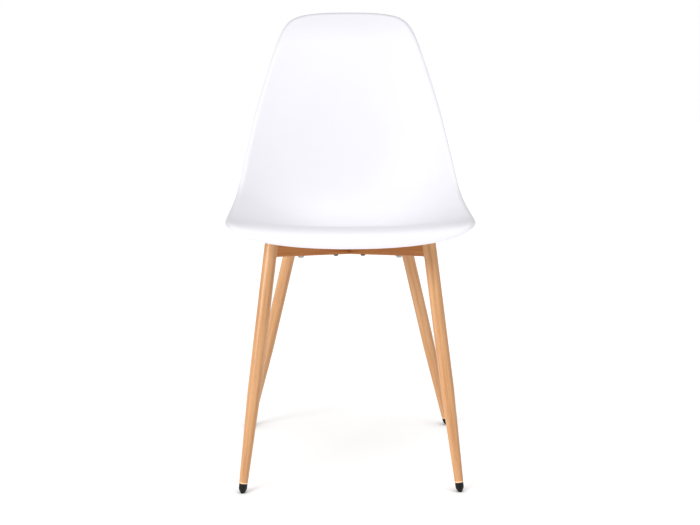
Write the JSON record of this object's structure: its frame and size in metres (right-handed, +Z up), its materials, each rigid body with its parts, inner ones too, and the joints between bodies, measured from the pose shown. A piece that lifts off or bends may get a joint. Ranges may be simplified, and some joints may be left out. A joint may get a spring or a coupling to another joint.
{
  "type": "dining chair",
  "caption": "Dining chair with a one-piece moulded bucket shell on splayed, tapered tube legs with a crossed rail underframe and pointed foot caps.",
  "frame": {"origin": "on the floor under the middle of the chair's bounding box", "axes": "+Z up, the front edge of the seat faces -Y, X runs from side to side with the chair symmetric about X = 0"},
  "size_m": [0.4492, 0.5341, 0.8601],
  "materials": {
    "shell_plastic": "fine satin white polypropylene",
    "beech_finish": "steel with a printed beech wood-effect film, satin lacquer",
    "bright_steel": "zinc plated",
    "dark_steel": "black oxide",
    "insert_brass": "plain brass",
    "pad_rubber": "matt black rubber",
    "cap_plastic": "satin black plastic"
  },
  "bodies": {
    "root": {"shell": "shell_plastic", "boss_inserts": "insert_brass", "pad_front_left": "pad_rubber", "pad_front_right": "pad_rubber", "pad_rear_left": "pad_rubber", "pad_rear_right": "pad_rubber", "rail_front_left": "beech_finish", "rail_front_right": "beech_finish", "rail_rear_left": "beech_finish", "rail_rear_right": "beech_finish", "crossing_plate": "beech_finish", "plate_screws": "dark_steel", "plate_nuts": "bright_steel", "shell_bolts": "bright_steel", "bolt_washers": "bright_steel", "leg_front_left": "beech_finish", "leg_front_right": "beech_finish", "leg_rear_left": "beech_finish", "leg_rear_right": "beech_finish", "plug_front_left": "cap_plastic", "plug_front_right": "cap_plastic", "plug_rear_left": "cap_plastic", "plug_rear_right": "cap_plastic", "foot_front_left": "cap_plastic", "foot_front_right": "cap_plastic", "foot_rear_left": "cap_plastic", "foot_rear_right": "cap_plastic"}
  },
  "joints": []
}
